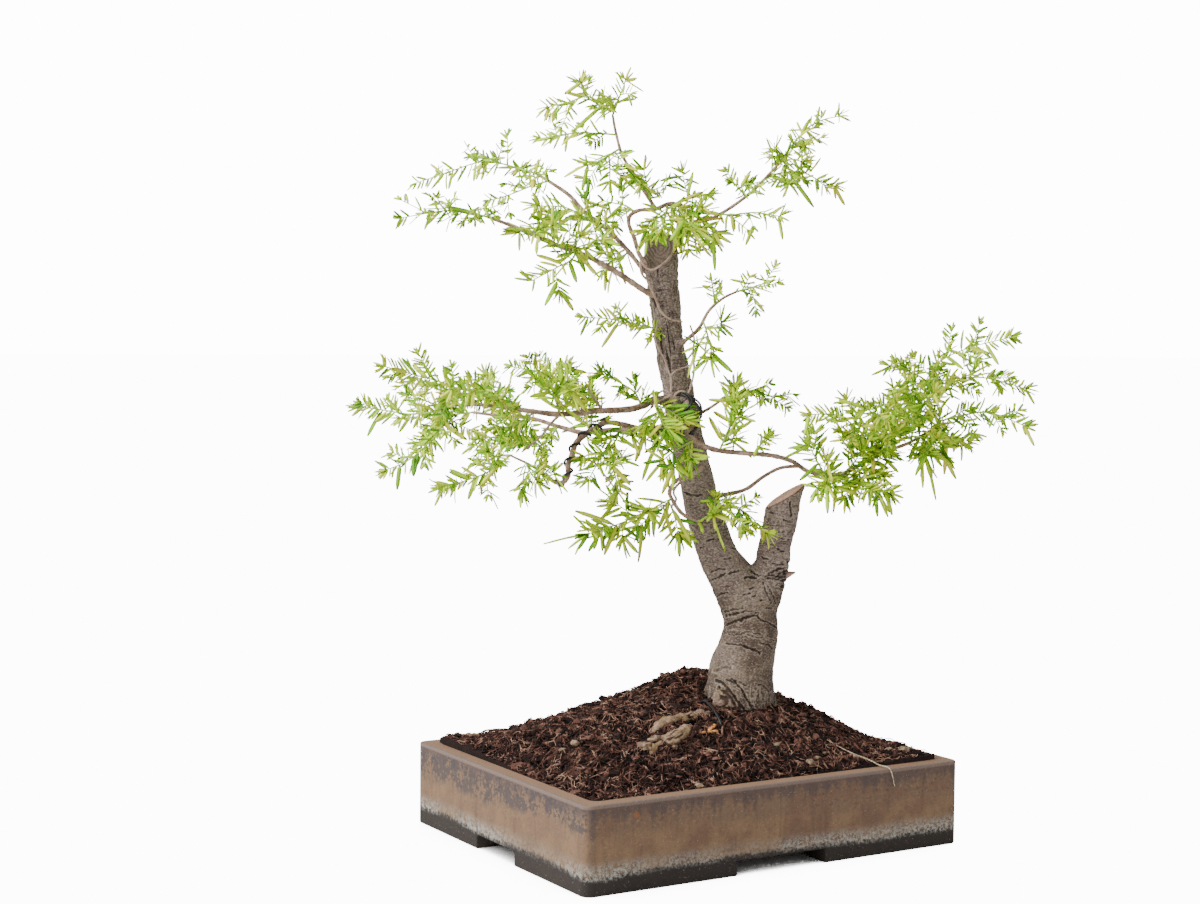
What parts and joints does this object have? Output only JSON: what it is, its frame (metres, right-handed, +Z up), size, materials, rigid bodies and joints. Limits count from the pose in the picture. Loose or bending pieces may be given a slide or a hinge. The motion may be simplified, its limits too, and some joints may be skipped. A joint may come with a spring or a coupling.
{
  "type": "bonsai tree in pot",
  "caption": "Hemlock bonsai with a curved trunk, a cut top and a cut side stem, long spreading branches of soft green leaves, wound training wire and a low rectangular pot of soil.",
  "frame": {"origin": "middle of the footprint of the whole plant and pot, on the surface that the pot's feet stand on", "axes": "+Z up; +X along the pot's long side, +Y along its short side; the plant is shown from the -X -Y corner, about 31 degrees from the pot's long face, where -Y is the front face"},
  "size_m": [0.581, 0.4018, 0.6785],
  "materials": {
    "pot_clay": "matte",
    "screen_plastic": "matte",
    "soil": "matte",
    "bark": "matte",
    "training_wire": "satin",
    "leaf": "satin"
  },
  "bodies": {
    "root": {"pot": "pot_clay", "drain_screen_left": "screen_plastic", "drain_screen_right": "screen_plastic", "soil": "soil", "tree_wood": "bark", "wire_hanging": "training_wire", "wire_front": "training_wire", "wire_end": "training_wire", "spray_leader_tip": "leaf", "spray_leader_mid": "leaf", "spray_leader_low": "leaf", "spray_leader_small": "leaf", "spray_upper_left_tip": "leaf", "spray_upper_left_under": "leaf", "spray_upper_left_dense": "leaf", "spray_upper_left_inner": "leaf", "spray_lower_left_tip": "leaf", "spray_lower_left_mid": "leaf", "spray_lower_left_hang": "leaf", "spray_crown_main": "leaf", "spray_crown_left": "leaf", "spray_crown_back": "leaf", "spray_crown_right": "leaf", "spray_crown_hang": "leaf", "spray_crown_twig": "leaf", "spray_right_top_tip": "leaf", "spray_right_top_star": "leaf", "spray_right_top_right": "leaf", "spray_right_top_left": "leaf", "spray_right_small_tip": "leaf", "spray_right_small_up": "leaf", "spray_right_small_star": "leaf", "spray_left_small": "leaf", "spray_right_mid": "leaf", "spray_right_mid_twig": "leaf", "spray_right_rosette": "leaf", "spray_main_tip": "leaf", "spray_main_front": "leaf", "spray_main_up": "leaf", "spray_main_over": "leaf", "spray_main_inner": "leaf", "spray_second_tip": "leaf", "spray_second_up": "leaf", "spray_second_low": "leaf", "spray_second_under": "leaf", "spray_second_mid": "leaf", "spray_hang_tip": "leaf", "spray_hang_cluster": "leaf", "spray_hang_inner": "leaf", "spray_low_left": "leaf", "spray_front_upper": "leaf", "spray_front_lower": "leaf", "spray_front_rosette": "leaf", "spray_pad_tip": "leaf", "spray_pad_middle": "leaf", "spray_pad_centre": "leaf", "spray_pad_left": "leaf", "spray_pad_low": "leaf", "spray_pad_under": "leaf", "spray_pad_base": "leaf"}
  },
  "joints": []
}
